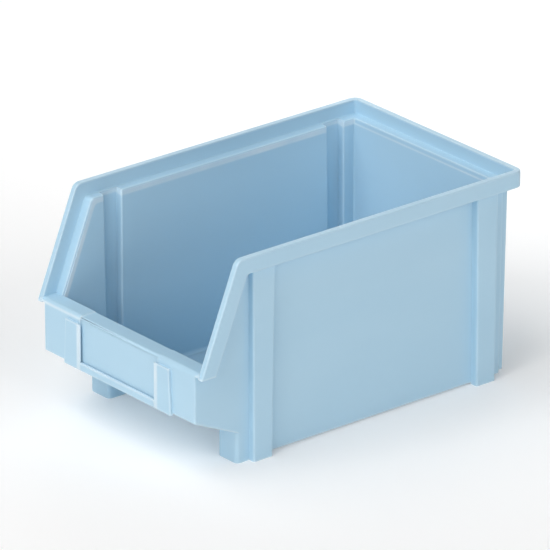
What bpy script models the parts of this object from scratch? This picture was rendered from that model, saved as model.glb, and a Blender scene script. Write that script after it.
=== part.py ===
"""Open-fronted stacking bin for small parts, in light blue plastic.

The real bin is one moulding with no moving pieces. It is built here as the named
regions that a mould maker would call out (floor, walls, pilasters, rim, flange,
label holder, feet), each one a closed solid that stops a hair short of its neighbour.

Frame: metres, +Z up, -Y is the open front, +X is the right side seen from the front.
The origin is on the floor under the middle of the bin's outer box.
"""
import math

import bmesh
import bpy
from mathutils import Vector

# ---------------------------------------------------------------- driving dimensions
GAP = 0.0003                    # space kept between neighbouring regions

HEIGHT = 0.1270                 # top of the rim above the feet
RIM_HALF_WIDTH = 0.0740
RIM_BACK = 0.1183               # outer face of the rim at the back
FRONT = -0.1167                 # outer face of the front wall
BODY_BOTTOM = 0.0012            # underside of walls and floor; pilasters and feet reach zero

LIP_THICKNESS = 0.0038          # upright part of the rim
LEDGE_DROP = 0.0085             # stacking ledge below the top of the rim
RIM_DEPTH = 0.0098              # rim from its outer face to the inside of the wall
BAND_DROP = 0.0097              # outer face of the rim, top to bottom
ROOT_DROP = 0.0117              # where the rim grows out of the wall
ROOT_OFFSET = 0.0081            # outer face of the wall, inward from the rim's outer face
LIP_EDGE_RADIUS = 0.0009
LEDGE_FILLET = 0.0006
RIM_CORNER_RADIUS = 0.0056      # rear corners in plan
RIM_CORNER_LENGTH = 0.0160      # how far the corner regions reach along the back
SMALL_RADIUS = 0.0006

SLOPE_TOP_Y = -0.0904           # where the level rim turns down towards the front
SLOPE_DROP_ANGLE = math.radians(68.0)
SLOPE_CORNER_RADIUS = 0.0055
SLOPE_TIP_Z = 0.0618            # level underside of the rim's front tips
SLOPE_JOINT_Y = -0.0795         # the sloped rim region ends here
SLOPE_RUN = 0.0800              # swept past the tip before it is trimmed

WALL_TOP = 0.1150
WALL_OUTER_TOP = 0.0659         # half width of the body at WALL_TOP
WALL_OUTER_BOTTOM = 0.0650      # half width of the body at BODY_BOTTOM
WALL_THICKNESS = 0.0018
FLARE_OUTER_REAR = 0.0661       # half width of the front side panels at the pilasters
FLARE_OUTER_FRONT = 0.0678      # and at the front wall
FLARE_HEIGHT = 0.0500           # both taken at this height
PANEL_REAR_Y = -0.0777

BACK_INNER_TOP = 0.1085
BACK_INNER_BOTTOM = 0.1077
BACK_THICKNESS = 0.0020
BACK_CORNER_RADIUS = 0.0020
REAR_RIB_OUTER_Y = 0.1152       # ribs on the back wall, just inside the line of the rim
REAR_RIB_FOOT_Y = 0.1143
REAR_RIB_OUTER_X = 0.0635
REAR_RIB_FOOT_X = 0.0618
REAR_RIB_THICKNESS = 0.0020

FRONT_THICKNESS = 0.0022
FRONT_BOTTOM = 0.0338
FLANGE_TOP = 0.0649
FLANGE_THICKNESS = 0.0023
FLANGE_INNER_Y = -0.1054
FLANGE_END_X = 0.0699
FLANGE_SPLIT_X = 0.0325         # ends of the slightly lower middle part
FLANGE_STEP = 0.0004
FLANGE_EDGE_RADIUS = 0.0021
FLANGE_LEDGE_Y = -0.1078        # the foot of the rim's ledge takes the flange back to here
FLANGE_LIP_Y = -0.1109          # and the foot of its lip to here

RAMP_SLOPE = 0.466
RAMP_REAR_Y = -0.0470
FLOOR_THICKNESS = 0.0022
FLOOR_HALF_WIDTH = 0.0629

PILASTER_OUTER_TOP = 0.0709
PILASTER_OUTER_BOTTOM = 0.0700
PILASTER_INNER = 0.0640
PILASTER_SKIN = 0.0019
PILASTER_CHEEK = 0.0016
PILASTER_RADIUS = 0.0012
FRONT_PILASTER = (-0.0774, -0.0617, -0.0764, -0.0627)    # y from, to at the top, then at the foot
REAR_PILASTER = (0.0865, 0.1019, 0.0877, 0.1018)

LABEL_FACE = -0.1183
LABEL_TOP = 0.0603
LABEL_BOTTOM = 0.0326
LABEL_LIP_TOP = 0.0373
LABEL_RAIL_INNER = 0.0332
LABEL_RAIL_OUTER_TOP = 0.0465
LABEL_RAIL_OUTER_FOOT = 0.0480
LABEL_LIP_HALF = 0.0329

FOOT_INNER_X = 0.0491
FOOT_FRONT_Y = -0.0856
FOOT_REAR_Y = -0.0600
FOOT_RADIUS = 0.0026

PLASTIC = (0.36, 0.58, 0.75, 1.0)
PLASTIC_ROUGHNESS = 0.45
SMOOTH_ANGLE = math.radians(30.0)
CLEARANCE = 0.0050              # how far a cutter reaches past what it cuts
ARC_STEPS = 4
SECTION_STEPS = 3
BEND_STEPS = 6


# ---------------------------------------------------------------- surfaces of the bin
def between(value, low, high, at_low, at_high):
    """Straight-line interpolation."""
    return at_low + (at_high - at_low) * (value - low) / (high - low)


def wall_outer(z):
    """Half width of the side walls, which draw in towards the floor."""
    return between(z, BODY_BOTTOM, WALL_TOP, WALL_OUTER_BOTTOM, WALL_OUTER_TOP)


def panel_outer(y, z):
    """Half width of the front side panels, which flare out towards the front wall."""
    at_depth = between(y, PANEL_REAR_Y, FRONT, FLARE_OUTER_REAR, FLARE_OUTER_FRONT)
    return at_depth + (z - FLARE_HEIGHT) * (WALL_OUTER_TOP - WALL_OUTER_BOTTOM) / WALL_TOP


def ramp_under(y):
    """Height of the underside of the sloped nose."""
    return FRONT_BOTTOM + (FRONT - y) * RAMP_SLOPE


def pilaster_edges(pilaster, z):
    """Front and rear edge of a pilaster at height z."""
    front_top, rear_top, front_foot, rear_foot = pilaster
    return (between(z, 0.0, WALL_TOP, front_foot, front_top),
            between(z, 0.0, WALL_TOP, rear_foot, rear_top))


def pilaster_outer(z):
    """Half width over the pilasters."""
    return between(z, 0.0, WALL_TOP, PILASTER_OUTER_BOTTOM, PILASTER_OUTER_TOP)


def rim_under(x):
    """Height of the underside of the rim at a distance x from the middle."""
    rise = (ROOT_DROP - BAND_DROP) / ROOT_OFFSET
    return HEIGHT - ROOT_DROP + (x - (RIM_HALF_WIDTH - ROOT_OFFSET)) * rise


# ---------------------------------------------------------------- mesh helpers
def fillet(corners, steps=ARC_STEPS):
    """Closed 2-D outline from (u, v, radius) corners, each rounded by an arc."""
    outline = []
    count = len(corners)
    for index, (u, v, radius) in enumerate(corners):
        here = Vector((u, v))
        if radius <= 0.0:
            outline.append((u, v))
            continue
        before = (Vector(corners[index - 1][:2]) - here).normalized()
        after = (Vector(corners[(index + 1) % count][:2]) - here).normalized()
        half_angle = before.angle(after) / 2.0
        centre = here + (before + after).normalized() * (radius / math.sin(half_angle))
        start = here + before * (radius / math.tan(half_angle)) - centre
        end = here + after * (radius / math.tan(half_angle)) - centre
        sweep = math.pi - 2.0 * half_angle
        turn = math.copysign(1.0, start.x * end.y - start.y * end.x)
        for step in range(steps + 1):
            angle = turn * sweep * step / steps
            outline.append((centre.x + start.x * math.cos(angle) - start.y * math.sin(angle),
                            centre.y + start.x * math.sin(angle) + start.y * math.cos(angle)))
    return outline


def loft(rings):
    """Closed mesh through rings of equal length, with both end rings capped."""
    mesh = bmesh.new()
    verts = [[mesh.verts.new(point) for point in ring] for ring in rings]
    for lower, upper in zip(verts, verts[1:]):
        for index in range(len(lower)):
            following = (index + 1) % len(lower)
            mesh.faces.new((lower[index], lower[following], upper[following], upper[index]))
    mesh.faces.new(list(reversed(verts[0])))
    mesh.faces.new(verts[-1])
    return mesh


def mirror_rings(rings, side):
    """The same rings on the right (+1) or the left (-1)."""
    return [[(side * x, y, z) for x, y, z in ring] for ring in rings]


def plastic_material(name):
    """Matt moulded polypropylene, one material per region."""
    material = bpy.data.materials.new(name + "_plastic")
    material.use_nodes = True
    shader = material.node_tree.nodes["Principled BSDF"]
    shader.inputs["Base Color"].default_value = PLASTIC
    shader.inputs["Roughness"].default_value = PLASTIC_ROUGHNESS
    return material


def add_region(name, mesh, parent):
    """Turn a bmesh into a named object of the bin, with its origin at its middle."""
    bmesh.ops.recalc_face_normals(mesh, faces=mesh.faces)
    data = bpy.data.meshes.new(name)
    mesh.to_mesh(data)
    mesh.free()
    low = Vector(min(vert.co[axis] for vert in data.vertices) for axis in range(3))
    high = Vector(max(vert.co[axis] for vert in data.vertices) for axis in range(3))
    middle = (low + high) / 2.0
    for vert in data.vertices:
        vert.co -= middle
    data.shade_smooth()
    data.set_sharp_from_angle(angle=SMOOTH_ANGLE)
    data.materials.append(plastic_material(name))
    region = bpy.data.objects.new(name, data)
    region.location = middle
    region.parent = parent
    bpy.context.scene.collection.objects.link(region)
    return region


def cut(region, name, mesh):
    """Take the shape of a mesh out of a region with a Boolean."""
    cutter = add_region(name, mesh, region.parent)
    cutter.hide_render = True
    cutter.display_type = "WIRE"
    boolean = region.modifiers.new(name, "BOOLEAN")
    boolean.operation = "DIFFERENCE"
    boolean.solver = "EXACT"
    boolean.object = cutter


def box_rings(x_range, y_range, z_range):
    """Two rings of a plain box."""
    corners = [(x_range[0], y_range[0]), (x_range[1], y_range[0]),
               (x_range[1], y_range[1]), (x_range[0], y_range[1])]
    return [[(x, y, z) for x, y in corners] for z in z_range]


def slab_rings(outline, inner, outer):
    """A panel from a YZ outline, between two half widths given as functions of y and z."""
    return [[(inner(y, z), y, z) for y, z in outline],
            [(outer(y, z), y, z) for y, z in outline]]


# ---------------------------------------------------------------- floor and nose
def make_floor(parent):
    """Flat floor between the side walls."""
    thickness = (BODY_BOTTOM, BODY_BOTTOM + FLOOR_THICKNESS)
    rings = box_rings((-FLOOR_HALF_WIDTH, FLOOR_HALF_WIDTH),
                      (RAMP_REAR_Y + GAP, BACK_INNER_BOTTOM - GAP), thickness)
    add_region("floor_panel", loft(rings), parent)


def make_nose_ramp(parent):
    """Sloped floor that rises from the flat floor to the bottom of the front wall."""
    front_y = FRONT + FRONT_THICKNESS + GAP
    upright = FLOOR_THICKNESS * math.hypot(1.0, RAMP_SLOPE)
    rings = []
    half = FLOOR_HALF_WIDTH
    for y in (front_y, RAMP_REAR_Y):
        low = ramp_under(y)
        rings.append([(-half, y, low), (half, y, low),
                      (half, y, low + upright), (-half, y, low + upright)])
    add_region("nose_ramp", loft(rings), parent)


# ---------------------------------------------------------------- walls
def make_side_walls(side, side_name, parent):
    """The three panels of a side wall, in front of, between and behind the pilasters."""
    line_start = Vector((SLOPE_TOP_Y, HEIGHT))
    inward = Vector((math.sin(SLOPE_DROP_ANGLE), -math.cos(SLOPE_DROP_ANGLE)))
    along = Vector((-math.cos(SLOPE_DROP_ANGLE), -math.sin(SLOPE_DROP_ANGLE)))
    panel_line = line_start + inward * (ROOT_DROP + 2.0 * GAP)

    def line_y(z):
        return panel_line.x + along.x * (z - panel_line.y) / along.y

    front_y = FRONT + FRONT_THICKNESS + GAP
    shelf_z = SLOPE_TIP_Z - GAP
    front_low = pilaster_edges(FRONT_PILASTER, ramp_under(PANEL_REAR_Y))[0] - GAP
    front_high = pilaster_edges(FRONT_PILASTER, WALL_TOP)[0] - GAP
    front = [(front_y, ramp_under(front_y)), (front_low, ramp_under(front_low)),
             (front_high, WALL_TOP), (line_y(WALL_TOP), WALL_TOP),
             (line_y(shelf_z), shelf_z), (front_y, shelf_z)]
    rings = slab_rings(front, lambda y, z: wall_outer(z) - WALL_THICKNESS, panel_outer)
    add_region("side_wall_" + side_name + "_front", loft(mirror_rings(rings, side)), parent)

    behind_front = [pilaster_edges(FRONT_PILASTER, z)[1] + GAP for z in (BODY_BOTTOM, WALL_TOP)]
    before_rear = [pilaster_edges(REAR_PILASTER, z)[0] - GAP for z in (BODY_BOTTOM, WALL_TOP)]
    behind_rear = [pilaster_edges(REAR_PILASTER, z)[1] + GAP for z in (BODY_BOTTOM, WALL_TOP)]
    middle = [(behind_front[0], BODY_BOTTOM), (before_rear[0], BODY_BOTTOM),
              (before_rear[1], WALL_TOP), (behind_front[1], WALL_TOP)]
    rear = [(behind_rear[0], BODY_BOTTOM), (BACK_INNER_BOTTOM - GAP, BODY_BOTTOM),
            (BACK_INNER_TOP - GAP, WALL_TOP), (behind_rear[1], WALL_TOP)]
    for place, outline in (("_middle", middle), ("_rear", rear)):
        rings = slab_rings(outline, lambda y, z: wall_outer(z) - WALL_THICKNESS,
                           lambda y, z: wall_outer(z))
        add_region("side_wall_" + side_name + place, loft(mirror_rings(rings, side)), parent)


def make_back_wall(parent):
    """Back wall across the full width of the body, with rounded upright corners."""
    rings = []
    for z, inner in ((BODY_BOTTOM, BACK_INNER_BOTTOM), (WALL_TOP, BACK_INNER_TOP)):
        half = wall_outer(z)
        outer = inner + BACK_THICKNESS
        plan = fillet([(-half, inner, 0.0), (half, inner, 0.0),
                       (half, outer, BACK_CORNER_RADIUS - GAP),
                       (-half, outer, BACK_CORNER_RADIUS - GAP)])
        rings.append([(x, y, z) for x, y in plan])
    add_region("back_wall", loft(rings), parent)


def make_rear_rib(side, side_name, parent):
    """Upright rib on the back wall, near its corner and as far out as the pilasters."""
    rings = []
    for z, outer_x, outer_y in ((BODY_BOTTOM, REAR_RIB_FOOT_X, REAR_RIB_FOOT_Y),
                                (WALL_TOP, REAR_RIB_OUTER_X, REAR_RIB_OUTER_Y)):
        root = between(z, BODY_BOTTOM, WALL_TOP, BACK_INNER_BOTTOM, BACK_INNER_TOP)
        root += BACK_THICKNESS + GAP
        inner_x = outer_x - REAR_RIB_THICKNESS
        plan = fillet([(inner_x, root, 0.0), (outer_x, root, 0.0),
                       (outer_x, outer_y, SMALL_RADIUS), (inner_x, outer_y, SMALL_RADIUS)])
        rings.append([(x, y, z) for x, y in plan])
    add_region("rear_rib_" + side_name, loft(mirror_rings(rings, side)), parent)


def make_front_wall(parent):
    """Low front wall below the open side."""
    top = FLANGE_TOP - FLANGE_THICKNESS - GAP
    inner = FRONT + FRONT_THICKNESS
    outline = [(FRONT, ramp_under(FRONT)), (inner, ramp_under(inner)), (inner, top), (FRONT, top)]
    rings = slab_rings(outline, lambda y, z: -panel_outer(FRONT, z),
                       lambda y, z: panel_outer(FRONT, z))
    add_region("front_wall", loft(rings), parent)


# ---------------------------------------------------------------- flange of the front wall
def flange_outline(top):
    """Outline in YZ of the flange on the front wall, round at its outer top edge."""
    under = FLANGE_TOP - FLANGE_THICKNESS
    return fillet([(FRONT, under, 0.0), (FLANGE_INNER_Y, under, 0.0),
                   (FLANGE_INNER_Y, top, SMALL_RADIUS),
                   (FRONT, top, FLANGE_EDGE_RADIUS - (FLANGE_TOP - top))])


def make_front_flange(parent):
    """Level flange on the front wall: a slightly lower middle between two ends."""
    middle = FLANGE_SPLIT_X - GAP / 2.0
    outline = flange_outline(FLANGE_TOP - FLANGE_STEP)
    rings = [[(x, y, z) for y, z in outline] for x in (-middle, middle)]
    add_region("front_flange_center", loft(rings), parent)
    for side, side_name in ((-1.0, "left"), (1.0, "right")):
        rings = [[(x, y, z) for y, z in flange_outline(FLANGE_TOP)]
                 for x in (FLANGE_SPLIT_X + GAP / 2.0, FLANGE_END_X)]
        name = "front_flange_" + side_name
        flange = add_region(name, loft(mirror_rings(rings, side)), parent)
        cut(flange, "cutter_" + name, flange_corner_cutter(side))


def flange_corner_cutter(side):
    """Room beside the flange's end for the foot of the sloped rim."""
    ledge_x = RIM_HALF_WIDTH - RIM_DEPTH - GAP
    fillet_x = RIM_HALF_WIDTH - LIP_THICKNESS - LEDGE_FILLET - GAP
    end_x = FLANGE_END_X + GAP
    behind = FLANGE_INNER_Y + CLEARANCE
    plan = [(ledge_x, FLANGE_LEDGE_Y), (fillet_x, FLANGE_LEDGE_Y), (end_x, FLANGE_LIP_Y),
            (end_x, behind), (ledge_x, behind)]
    rings = [[(x, y, z) for x, y in plan]
             for z in (FLANGE_TOP - CLEARANCE, FLANGE_TOP + CLEARANCE)]
    return loft(mirror_rings(rings, side))


# ---------------------------------------------------------------- rim
def rim_section():
    """Rim section as (inward offset, drop) points: lip, stacking ledge and root."""
    return fillet([(0.0, 0.0, LIP_EDGE_RADIUS),
                   (LIP_THICKNESS, 0.0, LIP_EDGE_RADIUS),
                   (LIP_THICKNESS, LEDGE_DROP, LEDGE_FILLET),
                   (RIM_DEPTH, LEDGE_DROP, SMALL_RADIUS),
                   (RIM_DEPTH, ROOT_DROP, 0.0),
                   (ROOT_OFFSET, ROOT_DROP, 0.0),
                   (0.0, BAND_DROP, SMALL_RADIUS)], SECTION_STEPS)


def turned_path(offset, corner_radius, turn):
    """A path's bend at an inward offset: its radius, and its centre's distance from the corner."""
    radius = max(SMALL_RADIUS, corner_radius - offset)
    reach = (offset + radius) / math.cos(turn / 2.0)
    return radius, reach


def make_sloped_rim(side, side_name, parent):
    """Rim from its level part round the bend and down to the front tip."""
    corner = Vector((SLOPE_TOP_Y, HEIGHT))
    bisector_angle = math.pi / 2.0 + SLOPE_DROP_ANGLE / 2.0
    bisector = Vector((math.cos(bisector_angle), math.sin(bisector_angle)))
    along = Vector((-math.cos(SLOPE_DROP_ANGLE), -math.sin(SLOPE_DROP_ANGLE)))
    inward = Vector((math.sin(SLOPE_DROP_ANGLE), -math.cos(SLOPE_DROP_ANGLE)))
    section = rim_section()
    rings = [[(RIM_HALF_WIDTH - offset, SLOPE_JOINT_Y - GAP, HEIGHT - drop)
              for offset, drop in section]]
    for step in range(BEND_STEPS + 1):
        angle = math.pi / 2.0 + SLOPE_DROP_ANGLE * step / BEND_STEPS
        radial = Vector((math.cos(angle), math.sin(angle)))
        ring = []
        for offset, drop in section:
            radius, reach = turned_path(drop, SLOPE_CORNER_RADIUS, SLOPE_DROP_ANGLE)
            place = corner - bisector * reach + radial * radius
            ring.append((RIM_HALF_WIDTH - offset, place.x, place.y))
        rings.append(ring)
    rings.append([(RIM_HALF_WIDTH - offset, *(corner + inward * drop + along * SLOPE_RUN))
                  for offset, drop in section])
    mesh = loft(mirror_rings(rings, side))
    trim(mesh, (0.0, FRONT, 0.0), (0.0, -1.0, 0.0))
    trim(mesh, (0.0, 0.0, SLOPE_TIP_Z), (0.0, 0.0, -1.0))
    add_region("rim_slope_" + side_name, mesh, parent)


def trim(mesh, point, outward):
    """Cut a closed mesh with a plane, drop the outward side and cap the cut."""
    geometry = mesh.verts[:] + mesh.edges[:] + mesh.faces[:]
    result = bmesh.ops.bisect_plane(mesh, geom=geometry, plane_co=point, plane_no=outward,
                                    clear_outer=True)
    edges = [item for item in result["geom_cut"] if isinstance(item, bmesh.types.BMEdge)]
    bmesh.ops.edgeloop_fill(mesh, edges=edges)


def make_side_rim(side, side_name, parent):
    """Level rim along a side, with its ledge cut back over both pilaster channels."""
    rings = [[(RIM_HALF_WIDTH - offset, y, HEIGHT - drop) for offset, drop in rim_section()]
             for y in (SLOPE_JOINT_Y, REAR_PILASTER[1])]
    name = "rim_" + side_name
    rim = add_region(name, loft(mirror_rings(rings, side)), parent)
    for place, span in (("front", FRONT_PILASTER), ("rear", REAR_PILASTER)):
        x_range = (RIM_HALF_WIDTH - RIM_DEPTH - GAP, PILASTER_OUTER_TOP - PILASTER_SKIN)
        notch = box_rings(x_range, (span[0] + PILASTER_CHEEK, span[1] - PILASTER_CHEEK),
                          (WALL_TOP - GAP, HEIGHT - LEDGE_DROP + LEDGE_FILLET))
        cut(rim, "cutter_" + name + "_" + place, loft(mirror_rings(notch, side)))


def make_rear_rim(parent):
    """Rim along the back wall and its two rounded corners."""
    section = rim_section()
    corner_x = RIM_HALF_WIDTH - RIM_CORNER_LENGTH
    rings = [[(x, RIM_BACK - offset, HEIGHT - drop) for offset, drop in section]
             for x in (-corner_x + GAP / 2.0, corner_x - GAP / 2.0)]
    add_region("rim_back", loft(rings), parent)
    for side, side_name in ((-1.0, "left"), (1.0, "right")):
        rings = [[(RIM_HALF_WIDTH - offset, REAR_PILASTER[1] + GAP, HEIGHT - drop)
                  for offset, drop in section]]
        for step in range(BEND_STEPS + 1):
            angle = math.pi / 2.0 * step / BEND_STEPS
            ring = []
            for offset, drop in section:
                radius, reach = turned_path(offset, RIM_CORNER_RADIUS, math.pi / 2.0)
                centre = reach / math.sqrt(2.0)
                ring.append((RIM_HALF_WIDTH - centre + radius * math.cos(angle),
                             RIM_BACK - centre + radius * math.sin(angle), HEIGHT - drop))
            rings.append(ring)
        rings.append([(corner_x + GAP / 2.0, RIM_BACK - offset, HEIGHT - drop)
                      for offset, drop in section])
        add_region("rim_corner_" + side_name, loft(mirror_rings(rings, side)), parent)


# ---------------------------------------------------------------- pilasters
def pilaster_ring(span, z, inset, inner_x, radius, lean):
    """Plan of a pilaster at height z, drawn in by the given inset; its top may lean."""
    low, high = pilaster_edges(span, z)
    low += inset
    high -= inset
    outer = pilaster_outer(z) - (PILASTER_SKIN if inset else 0.0)
    plan = fillet([(inner_x, low, 0.0), (outer, low, radius),
                   (outer, high, radius), (inner_x, high, 0.0)])
    return [(x, y, z + lean * (rim_under(x) - rim_under(PILASTER_INNER))) for x, y in plan]


def make_pilaster(side, side_name, place, span, channel_bottom, parent):
    """Hollow upright on a side wall: a channel open to the inside of the bin."""
    top = rim_under(PILASTER_INNER) - GAP
    rings = [pilaster_ring(span, 0.0, 0.0, PILASTER_INNER, PILASTER_RADIUS, 0.0),
             pilaster_ring(span, top, 0.0, PILASTER_INNER, PILASTER_RADIUS, 1.0)]
    name = "pilaster_" + side_name + "_" + place
    pilaster = add_region(name, loft(mirror_rings(rings, side)), parent)
    inside = PILASTER_INNER - 2.0 * GAP
    channel = [pilaster_ring(span, z, PILASTER_CHEEK, inside, SMALL_RADIUS, 0.0)
               for z in (channel_bottom, HEIGHT)]
    cut(pilaster, "cutter_" + name, loft(mirror_rings(channel, side)))
    pocket_top = channel_bottom - 2.0 * FLOOR_THICKNESS
    if pocket_top > BODY_BOTTOM:
        pocket_inner = PILASTER_INNER + PILASTER_CHEEK
        pocket = [pilaster_ring(span, z, PILASTER_CHEEK, pocket_inner, SMALL_RADIUS, 0.0)
                  for z in (-BODY_BOTTOM, pocket_top)]
        cut(pilaster, "cutter_pocket_" + name, loft(mirror_rings(pocket, side)))


# ---------------------------------------------------------------- label holder
def make_label_holder(parent):
    """Two flat rails and a lower lip that hold a card against the front wall."""
    depth = (LABEL_FACE, FRONT - GAP)
    for side, side_name in ((-1.0, "left"), (1.0, "right")):
        rings = []
        for outer, z in ((LABEL_RAIL_OUTER_FOOT, LABEL_BOTTOM), (LABEL_RAIL_OUTER_TOP, LABEL_TOP)):
            rings.append([(LABEL_RAIL_INNER, depth[0], z), (outer, depth[0], z),
                          (outer, depth[1], z), (LABEL_RAIL_INNER, depth[1], z)])
        add_region("label_rail_" + side_name, loft(mirror_rings(rings, side)), parent)
    rings = box_rings((-LABEL_LIP_HALF, LABEL_LIP_HALF), depth, (LABEL_BOTTOM, LABEL_LIP_TOP))
    add_region("label_lip", loft(rings), parent)


# ---------------------------------------------------------------- feet
def make_front_foot(side, side_name, parent):
    """Foot block under the nose, its corner flush with the side wall."""
    flush_x = WALL_OUTER_BOTTOM + GAP
    inside_x = FLOOR_HALF_WIDTH - GAP
    step_y = PANEL_REAR_Y - GAP
    plan = fillet([(FOOT_INNER_X, FOOT_FRONT_Y, FOOT_RADIUS), (flush_x, FOOT_FRONT_Y, FOOT_RADIUS),
                   (flush_x, step_y, 0.0), (inside_x, step_y, 0.0),
                   (inside_x, FOOT_REAR_Y, 0.0), (FOOT_INNER_X, FOOT_REAR_Y, 0.0)])
    rings = [[(x, y, 0.0) for x, y in plan],
             [(x, y, ramp_under(y) - GAP) for x, y in plan]]
    add_region("foot_front_" + side_name, loft(mirror_rings(rings, side)), parent)


# ---------------------------------------------------------------- assembly
def clear_scene():
    """Start from an empty scene."""
    for item in list(bpy.data.objects):
        bpy.data.objects.remove(item, do_unlink=True)


def build():
    """Every region of the bin, parented to one empty at the origin."""
    clear_scene()
    bin_frame = bpy.data.objects.new("bin_frame", None)
    bpy.context.scene.collection.objects.link(bin_frame)
    make_floor(bin_frame)
    make_nose_ramp(bin_frame)
    make_back_wall(bin_frame)
    make_front_wall(bin_frame)
    make_front_flange(bin_frame)
    make_rear_rim(bin_frame)
    make_label_holder(bin_frame)
    for side, side_name in ((-1.0, "left"), (1.0, "right")):
        make_side_walls(side, side_name, bin_frame)
        make_sloped_rim(side, side_name, bin_frame)
        make_side_rim(side, side_name, bin_frame)
        front_channel = ramp_under(FRONT_PILASTER[0]) + FLOOR_THICKNESS
        make_pilaster(side, side_name, "front", FRONT_PILASTER, front_channel, bin_frame)
        rear_channel = BODY_BOTTOM + FLOOR_THICKNESS
        make_pilaster(side, side_name, "rear", REAR_PILASTER, rear_channel, bin_frame)
        make_front_foot(side, side_name, bin_frame)
        make_rear_rib(side, side_name, bin_frame)


build()
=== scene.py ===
"""Looks of the open-fronted stacking bin: one light blue moulding, built around its CAD frame.

The CAD regions of the moulding are replaced by continuous mesh work with moulded
radii, so no joint lines show between them. Lengths are in metres.
"""
import math

import bmesh
import bpy
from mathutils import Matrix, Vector


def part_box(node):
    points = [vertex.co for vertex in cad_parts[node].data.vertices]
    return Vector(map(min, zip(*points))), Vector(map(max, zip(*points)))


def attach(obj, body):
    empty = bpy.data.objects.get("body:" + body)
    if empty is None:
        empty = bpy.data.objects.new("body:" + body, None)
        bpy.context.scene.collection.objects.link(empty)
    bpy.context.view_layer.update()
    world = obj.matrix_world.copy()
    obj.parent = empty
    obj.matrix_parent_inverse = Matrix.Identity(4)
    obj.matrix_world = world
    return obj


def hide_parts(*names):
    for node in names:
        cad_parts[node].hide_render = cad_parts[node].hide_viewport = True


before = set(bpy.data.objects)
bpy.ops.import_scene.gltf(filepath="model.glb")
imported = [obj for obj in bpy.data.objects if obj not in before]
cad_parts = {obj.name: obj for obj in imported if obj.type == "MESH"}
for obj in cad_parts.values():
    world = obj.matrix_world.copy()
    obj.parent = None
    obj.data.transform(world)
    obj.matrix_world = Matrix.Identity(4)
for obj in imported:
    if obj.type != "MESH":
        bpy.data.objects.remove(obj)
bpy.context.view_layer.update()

MM = 0.001
BODY = "root"


# ---------------------------------------------------------------- sizes from the frame
RIM_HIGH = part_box("rim_back")[1]
WALL_LOW, WALL_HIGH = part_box("front_wall")
FLANGE_LOW, FLANGE_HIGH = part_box("front_flange_left")
TIP_LOW, TIP_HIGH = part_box("rim_slope_right")
SIDE_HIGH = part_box("side_wall_right_middle")[1]
BACK_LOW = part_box("back_wall")[0]
FRONT_PILASTER_LOW, FRONT_PILASTER_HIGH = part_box("pilaster_right_front")
REAR_PILASTER_LOW, REAR_PILASTER_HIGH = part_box("pilaster_right_rear")
FLOOR_LOW, FLOOR_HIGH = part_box("floor_panel")
FOOT_LOW, FOOT_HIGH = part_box("foot_front_right")
RIB_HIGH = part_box("rear_rib_right")[1]
RAIL_LOW, RAIL_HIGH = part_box("label_rail_right")
LIP_LOW, LIP_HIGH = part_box("label_lip")

HEIGHT = RIM_HIGH[2]
RIM_HALF_WIDTH = TIP_HIGH[0]
RIM_BACK = RIM_HIGH[1]
FRONT = WALL_LOW[1]
FRONT_INNER = WALL_HIGH[1]
BODY_BOTTOM = FLOOR_LOW[2]
FLOOR_TOP = FLOOR_HIGH[2]
FLOOR_HALF_WIDTH = FLOOR_HIGH[0]

# Rim section: offsets run inwards from its outer face, drops run down from its top.
LIP_THICKNESS = 3.8 * MM
LEDGE_DROP = 8.5 * MM
RIM_DEPTH = 9.8 * MM
BAND_DROP = 9.7 * MM
ROOT_DROP = 11.7 * MM
ROOT_OFFSET = 8.1 * MM
RIM_CORNER_RADIUS = 5.6 * MM

SLOPE_TOP_Y = -90.4 * MM
SLOPE_ANGLE = math.radians(68.0)
SLOPE_CORNER_RADIUS = 5.5 * MM
LEDGE_BEND_RADIUS = 3.5 * MM
SLOPE_TIP_Z = TIP_LOW[2]

WALL_TOP = SIDE_HIGH[2]
WALL_OUTER_TOP = SIDE_HIGH[0]
WALL_OUTER_BOTTOM = 65.0 * MM
WALL_THICKNESS = 1.8 * MM
BACK_THICKNESS = 2.0 * MM
BACK_CORNER_RADIUS = 2.0 * MM
BACK_INNER_TOP = 108.5 * MM
PANEL_REAR_Y = -77.7 * MM
PANEL_OUTER_REAR = 66.1 * MM
PANEL_OUTER_FRONT = 67.8 * MM
PANEL_HEIGHT = 50.0 * MM        # the height at which both panel half widths hold

FLANGE_TOP = FLANGE_HIGH[2]
FLANGE_UNDER = FLANGE_LOW[2]
FLANGE_INNER_Y = FLANGE_HIGH[1]

RAMP_SLOPE = 0.466              # drop of the nose's underside over its length
NOSE_BOTTOM = WALL_LOW[2] + RAMP_SLOPE * (FRONT_INNER - FRONT)
RAMP_UPRIGHT = (FLOOR_TOP - BODY_BOTTOM) * math.hypot(1.0, RAMP_SLOPE)

PILASTER_SKIN = 1.9 * MM
PILASTER_DRAFT = 0.9 * MM
# Front and rear edge of each pilaster, at the top of the wall and then at the ground.
FRONT_PILASTER = (FRONT_PILASTER_LOW[1], FRONT_PILASTER_HIGH[1], -76.4 * MM, -62.7 * MM)
REAR_PILASTER = (REAR_PILASTER_LOW[1], REAR_PILASTER_HIGH[1], 87.7 * MM, 101.8 * MM)
CHEEK = 1.6 * MM
FOOT_REAR_Y = FRONT_PILASTER[2] + 0.4 * MM
LABEL_HALF = 34.9 * MM
POCKET_DEPTH = 0.4 * MM
ARC_STEPS = 6                   # straight pieces in each rounded corner
BEND_STEPS = 10                 # and in each bend of the rim
SHARP_ANGLE = math.radians(38.0)
HAIR = 0.05 * MM                # by this much a cutter passes the face that it frees
FAR = 0.4                       # well outside the bin, for cutters
BIN_MIDDLE = Vector((0.0, 0.0, 60.0 * MM))
LIGHT_DISTANCE = 2.6            # from the bin's middle


# ---------------------------------------------------------------- surfaces of the bin
def between(value, low, high, at_low, at_high):
    """Straight-line interpolation."""
    return at_low + (at_high - at_low) * (value - low) / (high - low)


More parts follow.
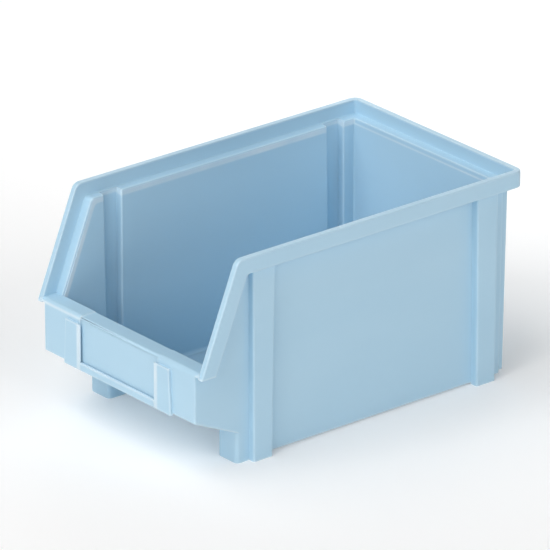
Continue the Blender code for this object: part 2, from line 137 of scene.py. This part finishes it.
def wall_outer(z):
    """Half width of the side walls."""
    return between(z, BODY_BOTTOM, WALL_TOP, WALL_OUTER_BOTTOM, WALL_OUTER_TOP)


def panel_outer(y, z):
    """Half width of the side panels in front of the pilasters."""
    at_depth = between(y, PANEL_REAR_Y, FRONT, PANEL_OUTER_REAR, PANEL_OUTER_FRONT)
    return at_depth + (z - PANEL_HEIGHT) * (WALL_OUTER_TOP - WALL_OUTER_BOTTOM) / WALL_TOP


def ramp_under(y):
    """Height of the underside of the sloped nose."""
    return NOSE_BOTTOM + (FRONT - y) * RAMP_SLOPE


def pilaster_outer(z):
    """Half width over the pilasters."""
    return FRONT_PILASTER_HIGH[0] - between(z, WALL_TOP, 0.0, 0.0, PILASTER_DRAFT)


def pilaster_edges(pilaster, z):
    """Front and rear edge of a pilaster, which narrows towards the floor."""
    front_top, rear_top, front_foot, rear_foot = pilaster
    return (between(z, 0.0, WALL_TOP, front_foot, front_top),
            between(z, 0.0, WALL_TOP, rear_foot, rear_top))


def back_inner(z):
    """Inner face of the back wall, which draws in towards the floor."""
    return between(z, BODY_BOTTOM, WALL_TOP, BACK_LOW[1], BACK_INNER_TOP)


def slope_line_y(depth, z):
    """Y of the line that lies a given depth inside the rim's sloped outer line."""
    start_y = SLOPE_TOP_Y + depth * math.sin(SLOPE_ANGLE)
    start_z = HEIGHT - depth * math.cos(SLOPE_ANGLE)
    return start_y + (z - start_z) / math.tan(SLOPE_ANGLE)


# ---------------------------------------------------------------- mesh helpers
def fillet(corners):
    """Closed 2-D outline from (u, v, radius) corners, each rounded by an arc."""
    outline = []
    count = len(corners)
    for index, (u, v, radius) in enumerate(corners):
        here = Vector((u, v))
        if radius <= 0.0:
            outline.append((u, v))
            continue
        before = (Vector(corners[index - 1][:2]) - here).normalized()
        after = (Vector(corners[(index + 1) % count][:2]) - here).normalized()
        half_angle = before.angle(after) / 2.0
        centre = here + (before + after).normalized() * (radius / math.sin(half_angle))
        start = here + before * (radius / math.tan(half_angle)) - centre
        end = here + after * (radius / math.tan(half_angle)) - centre
        sweep = math.pi - 2.0 * half_angle
        turn = math.copysign(1.0, start.x * end.y - start.y * end.x)
        for step in range(ARC_STEPS + 1):
            angle = turn * sweep * step / ARC_STEPS
            outline.append((centre.x + start.x * math.cos(angle) - start.y * math.sin(angle),
                            centre.y + start.x * math.sin(angle) + start.y * math.cos(angle)))
    return outline


def mirrored(half):
    """Whole outline corners from the corners of its right half, front to back."""
    return half + [(-x, y, radius) for x, y, radius in reversed(half)]


def loft(rings):
    """Closed mesh through rings of equal length, both ends capped."""
    mesh = bmesh.new()
    verts = [[mesh.verts.new(point) for point in ring] for ring in rings]
    for lower, upper in zip(verts, verts[1:]):
        for index in range(len(lower)):
            following = (index + 1) % len(lower)
            mesh.faces.new((lower[index], lower[following], upper[following], upper[index]))
    mesh.faces.new(list(reversed(verts[0])))
    mesh.faces.new(verts[-1])
    bmesh.ops.recalc_face_normals(mesh, faces=mesh.faces)
    return mesh


def prism_x(outline, x_from, x_to):
    """A YZ outline extruded along X."""
    return loft([[(x, y, z) for y, z in outline] for x in (x_from, x_to)])


def box(x_range, y_range, z_range):
    """A plain box."""
    corners = [(x_range[0], y_range[0]), (x_range[1], y_range[0]),
               (x_range[1], y_range[1]), (x_range[0], y_range[1])]
    return loft([[(x, y, z) for x, y in corners] for z in z_range])


def trim(mesh, point, outward):
    """Cut a closed mesh with a plane, drop the outward side and cap the cut."""
    geometry = mesh.verts[:] + mesh.edges[:] + mesh.faces[:]
    result = bmesh.ops.bisect_plane(mesh, geom=geometry, plane_co=point, plane_no=outward,
                                    clear_outer=True)
    edges = [item for item in result["geom_cut"] if isinstance(item, bmesh.types.BMEdge)]
    bmesh.ops.edgeloop_fill(mesh, edges=edges)
    bmesh.ops.recalc_face_normals(mesh, faces=mesh.faces)


def new_object(name, mesh):
    """An object in the scene from a bmesh."""
    data = bpy.data.meshes.new(name)
    mesh.to_mesh(data)
    mesh.free()
    item = bpy.data.objects.new(name, data)
    bpy.context.scene.collection.objects.link(item)
    return item


def apply_modifiers(item):
    """Bake an object's modifiers into its mesh."""
    bpy.context.view_layer.update()
    evaluated = item.evaluated_get(bpy.context.evaluated_depsgraph_get())
    data = bpy.data.meshes.new_from_object(evaluated)
    item.modifiers.clear()
    item.data = data


def combine(item, mesh, operation):
    """Cut a mesh from an object, or join it on, with an exact Boolean."""
    other = new_object("cutter", mesh)
    boolean = item.modifiers.new("boolean", "BOOLEAN")
    boolean.operation = operation
    boolean.solver = "EXACT"
    boolean.object = other
    apply_modifiers(item)
    bpy.data.objects.remove(other, do_unlink=True)


def soften(item, width):
    """Round the sharp edges of a piece by the mould's own small radius."""
    bevel = item.modifiers.new("mould_radius", "BEVEL")
    bevel.width = width
    bevel.segments = 2
    bevel.limit_method = "ANGLE"
    bevel.angle_limit = SHARP_ANGLE
    bevel.use_clamp_overlap = False
    bevel.miter_outer = "MITER_ARC"
    apply_modifiers(item)


def finish_piece(item, nodes, material):
    """Shade a piece, and tell the frame what it stands for."""
    item.data.shade_smooth()
    item.data.set_sharp_from_angle(angle=SHARP_ANGLE)
    weighted = item.modifiers.new("weighted_normals", "WEIGHTED_NORMAL")
    weighted.keep_sharp = True
    weighted.weight = 100
    item.data.materials.clear()
    item.data.materials.append(material)
    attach(item, BODY)
    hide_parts(*nodes)
    return item


# ---------------------------------------------------------------- material
def moulded_plastic():
    """Matt polypropylene: eroded mould texture, drag marks, slight sink, and paler outer edges that
    are partly wear and partly a painted highlight.
    """
    material = bpy.data.materials.new("light_blue_polypropylene")
    material.use_nodes = True
    nodes = material.node_tree.nodes
    links = material.node_tree.links
    shader = nodes["Principled BSDF"]
    shader.inputs["IOR"].default_value = 1.49
    shader.inputs["Specular IOR Level"].default_value = 0.5
    place = nodes.new("ShaderNodeTexCoord")

    def noise(scale, detail, stretch=(1.0, 1.0, 1.0)):
        mapping = nodes.new("ShaderNodeMapping")
        mapping.inputs["Scale"].default_value = stretch
        texture = nodes.new("ShaderNodeTexNoise")
        texture.inputs["Scale"].default_value = scale
        texture.inputs["Detail"].default_value = detail
        links.new(place.outputs["Object"], mapping.inputs["Vector"])
        links.new(mapping.outputs["Vector"], texture.inputs["Vector"])
        return texture.outputs["Fac"]

    def spread(value, low, high):
        ranged = nodes.new("ShaderNodeMapRange")
        ranged.inputs["From Min"].default_value = 0.3
        ranged.inputs["From Max"].default_value = 0.7
        ranged.inputs["To Min"].default_value = low
        ranged.inputs["To Max"].default_value = high
        links.new(value, ranged.inputs["Value"])
        return ranged.outputs["Result"]

    flow = noise(14.0, 3.0, (1.0, 0.5, 1.6))
    tint = nodes.new("ShaderNodeMix")
    tint.data_type = "RGBA"
    tint.inputs["A"].default_value = (0.428, 0.648, 0.802, 1.0)
    tint.inputs["B"].default_value = (0.455, 0.671, 0.820, 1.0)
    links.new(spread(flow, 0.0, 1.0), tint.inputs["Factor"])

    # Outer edges are painted paler, partly as wear from handling and partly as a painted highlight
    # where the edges catch the light: a short look inwards finds the outer edges.
    inside = nodes.new("ShaderNodeAmbientOcclusion")
    inside.inside = True
    inside.only_local = True
    inside.samples = 8
    inside.inputs["Distance"].default_value = 1.4 * MM
    edge = nodes.new("ShaderNodeMapRange")
    edge.inputs["From Min"].default_value = 0.93
    edge.inputs["From Max"].default_value = 0.50
    links.new(inside.outputs["AO"], edge.inputs["Value"])
    edge_wear_and_highlight = nodes.new("ShaderNodeMath")
    edge_wear_and_highlight.operation = "MULTIPLY"
    links.new(edge.outputs["Result"], edge_wear_and_highlight.inputs[0])
    links.new(spread(noise(35.0, 3.0), 0.35, 0.8), edge_wear_and_highlight.inputs[1])
    # Mix the pale edge colour into the base: a painted highlight along the outer edges, together
    # with edge wear.
    wear_and_highlight_mix = nodes.new("ShaderNodeMix")
    wear_and_highlight_mix.data_type = "RGBA"
    wear_and_highlight_mix.inputs["B"].default_value = (0.760, 0.860, 0.920, 1.0)
    links.new(edge_wear_and_highlight.outputs["Value"], wear_and_highlight_mix.inputs["Factor"])
    links.new(tint.outputs["Result"], wear_and_highlight_mix.inputs["A"])
    links.new(wear_and_highlight_mix.outputs["Result"], shader.inputs["Base Color"])

    cloud = noise(60.0, 4.0)
    links.new(spread(cloud, 0.40, 0.52), shader.inputs["Roughness"])

    # Relief, finest first: eroded texture, upright drag marks, and shallow sink.
    height = None
    for scale, stretch, strength, distance in (
            (4200.0, (1.0, 1.0, 1.0), 0.35, 0.02 * MM),
            (900.0, (1.0, 1.0, 0.02), 0.12, 0.02 * MM),
            (28.0, (1.0, 1.0, 0.7), 0.5, 0.06 * MM)):
        bump = nodes.new("ShaderNodeBump")
        bump.inputs["Strength"].default_value = strength
        bump.inputs["Distance"].default_value = distance
        links.new(noise(scale, 2.0, stretch), bump.inputs["Height"])
        if height is not None:
            links.new(height, bump.inputs["Normal"])
        height = bump.outputs["Normal"]
    links.new(height, shader.inputs["Normal"])
    return material


# ---------------------------------------------------------------- body
def outer_plan(z):
    """Outside of the walls at height z, pilasters included."""
    wall = wall_outer(z)
    out = pilaster_outer(z)
    front_low, front_high = pilaster_edges(FRONT_PILASTER, z)
    rear_low, rear_high = pilaster_edges(REAR_PILASTER, z)
    nose = 1.0 * MM
    tight = 0.3 * MM
    crown = 1.2 * MM
    half = [(panel_outer(FRONT, z), FRONT, nose), (panel_outer(front_low, z), front_low, tight),
            (out, front_low, crown), (out, front_high, crown),
            (wall, front_high, tight), (wall, rear_low, tight),
            (out, rear_low, crown), (out, rear_high, crown),
            (wall, rear_high, tight), (wall, back_inner(z) + BACK_THICKNESS, BACK_CORNER_RADIUS)]
    return [(x, y, z) for x, y in fillet(mirrored(half))]


def inner_plan(z, inset=0.0):
    """Inside of the walls at height z, pilaster channels included, drawn in by an inset."""
    wall = wall_outer(z) - WALL_THICKNESS - inset
    deep = pilaster_outer(z) - PILASTER_SKIN - inset
    front_low, front_high = pilaster_edges(FRONT_PILASTER, z)
    rear_low, rear_high = pilaster_edges(REAR_PILASTER, z)
    nose = 1.0 * MM
    mouth = 0.9 * MM
    tight = 0.5 * MM
    half = [(wall, FRONT_INNER, nose),
            (wall, front_low + CHEEK, mouth), (deep, front_low + CHEEK, tight),
            (deep, front_high - CHEEK, tight), (wall, front_high - CHEEK, mouth),
            (wall, rear_low + CHEEK, mouth), (deep, rear_low + CHEEK, tight),
            (deep, rear_high - CHEEK, tight), (wall, rear_high - CHEEK, mouth),
            (wall, back_inner(z) - inset, mouth)]
    return [(x, y, z) for x, y in fillet(mirrored(half))]


def cavity():
    """Space inside the bin, with the floor and ramp as its lower faces."""
    radius = 3.0 * MM
    rings = []
    for step in range(ARC_STEPS + 1):
        angle = math.pi / 2.0 * step / ARC_STEPS
        rings.append(inner_plan(FLOOR_TOP + radius * (1.0 - math.cos(angle)),
                                radius * (1.0 - math.sin(angle))))
    mesh = loft(rings + [inner_plan(HEIGHT)])
    level = ramp_under(FRONT) + RAMP_UPRIGHT
    trim(mesh, (0.0, FRONT, level), (0.0, -RAMP_SLOPE, -1.0))
    return mesh


def open_front():
    """Space over the front wall and in front of the sloped sides."""
    seat_drop = 2.15 * MM       # the front wall ends inside the flange
    depth = 9.6 * MM            # and the side walls end inside the sloped ledge
    seat = FLANGE_TOP - seat_drop
    return prism_x([(-FAR, seat), (slope_line_y(depth, seat), seat),
                    (slope_line_y(depth, HEIGHT), HEIGHT),
                    (slope_line_y(depth, HEIGHT), FAR), (-FAR, FAR)], -FAR, FAR)


def under_nose():
    """Space under the sloped nose, as far back as the feet's rounded corners."""
    corner = 3.0 * MM
    foot_y = FOOT_LOW[1] + corner
    return prism_x([(-FAR, ramp_under(-FAR)), (foot_y, ramp_under(foot_y)),
                    (foot_y, -FAR), (-FAR, -FAR)], -FAR, FAR)


def under_ramp():
    """Space under the ramp, between the side walls."""
    reach = 5.0 * MM
    front_y = FOOT_LOW[1] - reach
    rear_y = FRONT + (NOSE_BOTTOM - BODY_BOTTOM) / RAMP_SLOPE
    return prism_x([(front_y, ramp_under(front_y)), (rear_y, BODY_BOTTOM),
                    (rear_y, -FAR), (front_y, -FAR)], -FLOOR_HALF_WIDTH, FLOOR_HALF_WIDTH)


def pilaster_pocket(side):
    """Hollow in the foot of a front pilaster, below its channel."""
    below, top = -5.0 * MM, 13.0 * MM
    inner = 65.6 * MM
    tight = 0.4 * MM
    rings = []
    for z in (below, top):
        front, rear = pilaster_edges(FRONT_PILASTER, z)
        deep = pilaster_outer(z) - PILASTER_SKIN
        plan = fillet([(inner, front + CHEEK, tight), (deep, front + CHEEK, tight),
                       (deep, rear - CHEEK, tight), (inner, rear - CHEEK, tight)])
        rings.append([(side * x, y, z) for x, y in plan])
    return loft(rings)


def make_bin(material):
    """The whole moulding as one piece: walls cut from a block, then feet, ribs, rim and flange."""
    walls_end = HEIGHT - 9.2 * MM       # inside the rim
    body = new_object("bin_moulding", loft([outer_plan(0.0), outer_plan(walls_end)]))
    under_wall = wall_outer(0.0) + HAIR
    combine(body, box((-under_wall, under_wall), (-FAR, FAR), (-FAR, BODY_BOTTOM)), "DIFFERENCE")
    combine(body, cavity(), "DIFFERENCE")
    combine(body, open_front(), "DIFFERENCE")
    combine(body, under_nose(), "DIFFERENCE")
    combine(body, under_ramp(), "DIFFERENCE")
    combine(body, label_pocket(), "DIFFERENCE")
    for side in (-1.0, 1.0):
        combine(body, pilaster_pocket(side), "DIFFERENCE")
        combine(body, front_foot(side), "UNION")
        combine(body, rear_rib(side), "UNION")
    rim = new_object("rim", rim_sweep())
    for side in (-1.0, 1.0):
        for pilaster in FRONT_PILASTER, REAR_PILASTER:
            combine(rim, channel_mouth(side, pilaster), "DIFFERENCE")
    combine(body, mesh_of(rim), "UNION")
    combine(body, flange_middle(), "UNION")
    for side in (-1.0, 1.0):
        combine(body, flange_end(side), "UNION")
    combine(body, flange_brow(), "DIFFERENCE")
    names = ["floor_panel", "nose_ramp", "back_wall", "front_wall", "rim_back",
             "front_flange_left", "front_flange_center", "front_flange_right"]
    for side in ("left", "right"):
        names += ["side_wall_%s_%s" % (side, place) for place in ("front", "middle", "rear")]
        names += ["pilaster_%s_%s" % (side, place) for place in ("front", "rear")]
        names += ["rim_" + side, "rim_corner_" + side, "rim_slope_" + side]
        names += ["foot_front_" + side, "rear_rib_" + side]
    finish_piece(body, names, material)


def mesh_of(item):
    """Take an object out of the scene and return its mesh."""
    mesh = bmesh.new()
    mesh.from_mesh(item.data)
    bpy.data.objects.remove(item, do_unlink=True)
    return mesh


# ---------------------------------------------------------------- rim
def rim_section():
    """Rim section as (inward offset, drop) points."""
    outer_edge, inner_edge = 0.8 * MM, 0.55 * MM
    inside_corner = 0.5 * MM
    lower_edge = 0.6 * MM
    return fillet([(0.0, 0.0, outer_edge), (LIP_THICKNESS, 0.0, inner_edge),
                   (LIP_THICKNESS, LEDGE_DROP, inside_corner),
                   (RIM_DEPTH, LEDGE_DROP, lower_edge),
                   (RIM_DEPTH, ROOT_DROP, 0.0), (ROOT_OFFSET, ROOT_DROP, 0.0),
                   (0.0, BAND_DROP, lower_edge)])


def bend(offset, corner_radius, least_radius, turn):
    """Radius of a bend at an inward offset, and its centre's distance from the outer corner."""
    radius = max(least_radius, corner_radius - offset)
    return radius, (offset + radius) / math.cos(turn / 2.0)


def rim_half():
    """Rings of the rim from its right front tip round to the back."""
    section = rim_section()
    corner = Vector((SLOPE_TOP_Y, HEIGHT))
    half_turn = math.pi / 2.0 + SLOPE_ANGLE / 2.0
    bisector = Vector((math.cos(half_turn), math.sin(half_turn)))
    along = Vector((-math.cos(SLOPE_ANGLE), -math.sin(SLOPE_ANGLE)))
    inward = Vector((math.sin(SLOPE_ANGLE), -math.cos(SLOPE_ANGLE)))
    run = 80.0 * MM             # past the tip, where it is trimmed later
    tightest = 0.7 * MM
    rings = [[(RIM_HALF_WIDTH - offset, *(corner + inward * drop + along * run))
              for offset, drop in section]]
    for step in range(BEND_STEPS, -1, -1):
        angle = math.pi / 2.0 + SLOPE_ANGLE * step / BEND_STEPS
        radial = Vector((math.cos(angle), math.sin(angle)))
        ring = []
        for offset, drop in section:
            radius, reach = bend(drop, SLOPE_CORNER_RADIUS, LEDGE_BEND_RADIUS, SLOPE_ANGLE)
            ring.append((RIM_HALF_WIDTH - offset, *(corner - bisector * reach + radial * radius)))
        rings.append(ring)
    for step in range(BEND_STEPS + 1):
        angle = math.pi / 2.0 * step / BEND_STEPS
        ring = []
        for offset, drop in section:
            radius, reach = bend(offset, RIM_CORNER_RADIUS, tightest, math.pi / 2.0)
            centre = reach / math.sqrt(2.0)
            ring.append((RIM_HALF_WIDTH - centre + radius * math.cos(angle),
                         RIM_BACK - centre + radius * math.sin(angle), HEIGHT - drop))
        rings.append(ring)
    return rings


def rim_sweep():
    """Stacking rim: lip and ledge, swept round the bin and down to both tips."""
    right = rim_half()
    left = [[(-x, y, z) for x, y, z in ring] for ring in reversed(right)]
    mesh = loft(right + left)
    trim(mesh, (0.0, FRONT, 0.0), (0.0, -1.0, 0.0))
    trim(mesh, (0.0, 0.0, SLOPE_TIP_Z), (0.0, 0.0, -1.0))
    return mesh


def channel_mouth(side, pilaster):
    """Upper end of a pilaster's channel, which cuts back the ledge over it."""
    below, above = WALL_TOP - 10.0 * MM, HEIGHT - 5.9 * MM
    flare = 0.9 * MM
    tight = 0.5 * MM
    past_ledge = 2.0 * MM
    rings = []
    for z in (below, above):
        front, rear = pilaster_edges(pilaster, z)
        front += CHEEK - HAIR
        rear -= CHEEK - HAIR
        deep = pilaster_outer(z) - PILASTER_SKIN + HAIR
        mouth = wall_outer(z) - WALL_THICKNESS
        inside = mouth - past_ledge
        plan = fillet([(inside, front - flare, 0.0), (mouth, front - flare, 0.0),
                       (mouth + flare, front, 0.0), (deep, front, tight),
                       (deep, rear, tight), (mouth + flare, rear, 0.0),
                       (mouth, rear + flare, 0.0), (inside, rear + flare, 0.0)])
        rings.append([(side * x, y, z) for x, y in plan])
    return loft(rings)


# ---------------------------------------------------------------- front flange
def flange_outline(top, front):
    """Outline in YZ of the flange, rounded at its outer and inner top edges."""
    inner_edge, outer_edge = 0.6 * MM, 1.6 * MM
    return fillet([(front, FLANGE_UNDER, 0.0), (FLANGE_INNER_Y, FLANGE_UNDER, 0.0),
                   (FLANGE_INNER_Y, top, inner_edge), (front, top, outer_edge)])


def flange_middle():
    """Middle of the flange, sunk with the label pocket below it."""
    overlap = 1.0 * MM
    half = LABEL_HALF + overlap
    return prism_x(flange_outline(FLANGE_TOP - POCKET_DEPTH, FRONT + POCKET_DEPTH), -half, half)


def flange_end(side):
    """End of the flange; its step down to the middle curves in plan."""
    into_lip = 1.3 * MM
    bow = 1.2 * MM
    end = RIM_HALF_WIDTH - LIP_THICKNESS + into_lip
    outline = flange_outline(FLANGE_TOP, FRONT)
    step = []
    for y, z in outline:
        bulge = bow * math.sin(math.pi * between(y, FRONT, FLANGE_INNER_Y, 0.0, 1.0))
        step.append((side * (LABEL_HALF + bulge), y, z))
    return loft([step, [(side * end, y, z) for y, z in outline]])


def flange_brow():
    """Waste outside the broad radius along the front of the flange."""
    radius = 2.8 * MM
    steps = 2 * ARC_STEPS
    margin = 1.0 * MM
    lip_clearance = 0.3 * MM
    outline = [(FRONT - margin, FLANGE_TOP + margin), (FRONT - margin, FLANGE_TOP - radius)]
    for step in range(steps + 1):
        angle = math.pi / 2.0 * step / steps
        outline.append((FRONT + radius * (1.0 - math.cos(angle)),
                        FLANGE_TOP - radius * (1.0 - math.sin(angle))))
    outline.append((FRONT + radius, FLANGE_TOP + margin))
    half = RIM_HALF_WIDTH - LIP_THICKNESS - lip_clearance
    return prism_x(outline, -half, half)


# ---------------------------------------------------------------- label holder
def label_pocket():
    """Shallow pocket in the front wall that the card lies in."""
    margin = 1.0 * MM
    foot = LIP_LOW[2] + 3.0 * MM
    above = FLANGE_TOP + 5.0 * MM
    return box((-LABEL_HALF, LABEL_HALF), (FRONT - margin, FRONT + POCKET_DEPTH), (foot, above))


def make_label_rail(side, name, material):
    """A side rail: its free edge stands off the wall, its outer edge leans in at the top."""
    lean = 1.5 * MM
    slot_y = FRONT - 0.7 * MM
    seat_y = FRONT + 0.3 * MM
    edge = RAIL_LOW[0]
    root = edge + 3.0 * MM
    inner_radius, outer_radius = 0.3 * MM, 0.4 * MM
    rings = []
    for outer, z in ((RAIL_HIGH[0], RAIL_LOW[2]), (RAIL_HIGH[0] - lean, RAIL_HIGH[2])):
        plan = fillet([(edge, RAIL_LOW[1], inner_radius), (outer, RAIL_LOW[1], outer_radius),
                       (outer, seat_y, 0.0), (root, seat_y, 0.0),
                       (root, slot_y, 0.0), (edge, slot_y, 0.0)])
        rings.append([(side * x, y, z) for x, y in plan])
    rail = new_object(name, loft(rings))
    soften(rail, 0.25 * MM)
    finish_piece(rail, [name], material)


def make_label_lip(material):
    """The lower lip: a shelf with an upright edge in front of the card."""
    half = RAIL_LOW[0] + 0.5 * MM
    shelf = LIP_LOW[2] + 3.2 * MM
    seat_y = FRONT + 0.4 * MM
    slot_y = FRONT - 0.3 * MM
    lower_radius, upper_radius = 0.4 * MM, 0.35 * MM
    outline = fillet([(LIP_LOW[1], LIP_LOW[2], lower_radius), (seat_y, LIP_LOW[2], 0.0),
                      (seat_y, shelf, 0.0), (slot_y, shelf, 0.0),
                      (slot_y, LIP_HIGH[2], 0.0), (LIP_LOW[1], LIP_HIGH[2], upper_radius)])
    lip = new_object("label_lip", prism_x(outline, -half, half))
    finish_piece(lip, ["label_lip"], material)


def make_label_holder(material):
    """Two rails and a lower lip, which hold a card in front of the pocket."""
    make_label_rail(-1.0, "label_rail_left", material)
    make_label_rail(1.0, "label_rail_right", material)
    make_label_lip(material)


# ---------------------------------------------------------------- feet and rear ribs
def foot_plan(z, inset):
    """Outline of a front foot block at height z, drawn in by an inset."""
    front = FOOT_LOW[1] + inset
    rear = FOOT_HIGH[1] - inset
    inner = FOOT_LOW[0] + inset
    beside_floor = FLOOR_HALF_WIDTH + 0.6 * MM
    inner_radius, outer_radius, rear_radius = 2.6 * MM, 2.4 * MM, 1.0 * MM
    return fillet([(inner, front, inner_radius),
                   (panel_outer(front, z) - inset, front, outer_radius),
                   (panel_outer(FOOT_REAR_Y, z) - inset, FOOT_REAR_Y, 0.0),
                   (beside_floor, FOOT_REAR_Y, 0.0), (beside_floor, rear, 0.0),
                   (inner, rear, rear_radius)])


def front_foot(side):
    """Foot block under the nose, its outer face level with the side panel."""
    into_ramp = 1.0 * MM
    rings = []
    for z, inset in ((0.0, 0.4 * MM), (0.12 * MM, 0.12 * MM), (0.4 * MM, 0.0)):
        rings.append([(side * x, y, z) for x, y in foot_plan(z, inset)])
    rings.append([(side * x, y, ramp_under(y) + into_ramp)
                  for x, y in foot_plan(ramp_under(FOOT_REAR_Y), 0.0)])
    return loft(rings)


def rear_rib(side):
    """Upright rib on the back wall, near its corner."""
    thickness = 2.0 * MM
    into_wall = 1.5 * MM        # how deep the root lies in the back wall
    into_rim = 1.5 * MM
    edge = 0.6 * MM
    rings = []
    for z, draft_x, draft_y in ((BODY_BOTTOM, 1.7 * MM, 0.9 * MM), (WALL_TOP + into_rim, 0.0, 0.0)):
        outer_x = RIB_HIGH[0] - draft_x
        outer_y = RIB_HIGH[1] - draft_y
        inner_x = outer_x - thickness
        root = back_inner(z) + BACK_THICKNESS - into_wall
        plan = fillet([(inner_x, root, 0.0), (outer_x, root, 0.0),
                       (outer_x, outer_y, edge), (inner_x, outer_y, edge)])
        rings.append([(side * x, y, z) for x, y in plan])
    return loft(rings)


# ---------------------------------------------------------------- studio
def make_stage():
    """Plain pale floor."""
    mesh = bmesh.new()
    bmesh.ops.create_grid(mesh, x_segments=1, y_segments=1, size=30.0)
    floor = new_object("studio_floor", mesh)
    material = bpy.data.materials.new("studio_paper")
    material.use_nodes = True
    shader = material.node_tree.nodes["Principled BSDF"]
    shader.inputs["Base Color"].default_value = (0.92, 0.92, 0.92, 1.0)
    shader.inputs["Roughness"].default_value = 0.9
    shader.inputs["Emission Color"].default_value = (1.0, 1.0, 1.0, 1.0)
    shader.inputs["Emission Strength"].default_value = 0.12
    floor.data.materials.append(material)


def add_area(name, place, aim, size, power, colour=(1.0, 1.0, 1.0)):
    """A soft box at a place, turned towards its aim."""
    light = bpy.data.lights.new(name, "AREA")
    light.shape = "RECTANGLE"
    light.size, light.size_y = size
    light.energy = power
    light.color = colour
    item = bpy.data.objects.new(name, light)
    item.location = place
    item.rotation_euler = (aim - place).to_track_quat("-Z", "Y").to_euler()
    bpy.context.scene.collection.objects.link(item)


def around(azimuth, elevation):
    """A light's place around the bin; azimuth runs from +X towards +Y, in degrees."""
    turn, lift = math.radians(azimuth), math.radians(elevation)
    return BIN_MIDDLE + LIGHT_DISTANCE * Vector((math.cos(turn) * math.cos(lift),
                                                 math.sin(turn) * math.cos(lift),
                                                 math.sin(lift)))


def make_lights():
    """Soft studio light: a low key box right of the front, with fill from all round."""
    world = bpy.context.scene.world or bpy.data.worlds.new("studio")
    bpy.context.scene.world = world
    world.use_nodes = True
    background = world.node_tree.nodes["Background"]
    background.inputs["Color"].default_value = (1.0, 1.0, 1.0, 1.0)
    background.inputs["Strength"].default_value = 0.02
    square = (1.6, 1.6)
    strip = (1.6, 0.8)
    add_area("key_box", around(292.0, 25.0), BIN_MIDDLE, square, 20.0, (1.0, 0.96, 0.93))
    add_area("side_box", around(0.0, 27.0), BIN_MIDDLE, square, 21.5)
    add_area("front_box", around(270.0, 40.0), BIN_MIDDLE, square, 14.5)
    add_area("front_top_box", around(270.0, 62.0), BIN_MIDDLE, square, 19.5)
    add_area("left_top_box", around(210.0, 62.0), BIN_MIDDLE, square, 14.0)
    add_area("rear_strip", around(135.0, 12.0), BIN_MIDDLE, strip, 18.0)
    add_area("corner_box", around(60.0, 40.0), BIN_MIDDLE, square, 3.0)
    above_bin, behind_bin = Vector((0.0, 0.3, 0.7)), Vector((-0.6, 1.3, 0.3))
    add_area("backdrop_box", above_bin, behind_bin, (0.8, 0.5), 4.0)
    bpy.context.scene.view_settings.view_transform = "Standard"


def make_camera():
    """Long lens, from the front right and above the rim."""
    camera = bpy.data.cameras.new("camera")
    item = bpy.data.objects.new("camera", camera)
    azimuth = math.radians(50.56)
    elevation = math.radians(23.0)
    distance = 4.1042
    target = Vector((0.00031, -0.00394, 0.07118))
    back = Vector((math.sin(azimuth) * math.cos(elevation),
                   -math.cos(azimuth) * math.cos(elevation), math.sin(elevation)))
    item.location = target + back * distance
    item.rotation_euler = (math.pi / 2.0 - elevation, 0.0, azimuth)
    camera.sensor_width = 36.0
    camera.lens = 474.284
    camera.clip_start = 0.1
    camera.clip_end = 100.0
    bpy.context.scene.collection.objects.link(item)
    bpy.context.scene.camera = item


plastic = moulded_plastic()
make_bin(plastic)
make_label_holder(plastic)
make_stage()
make_lights()
make_camera()
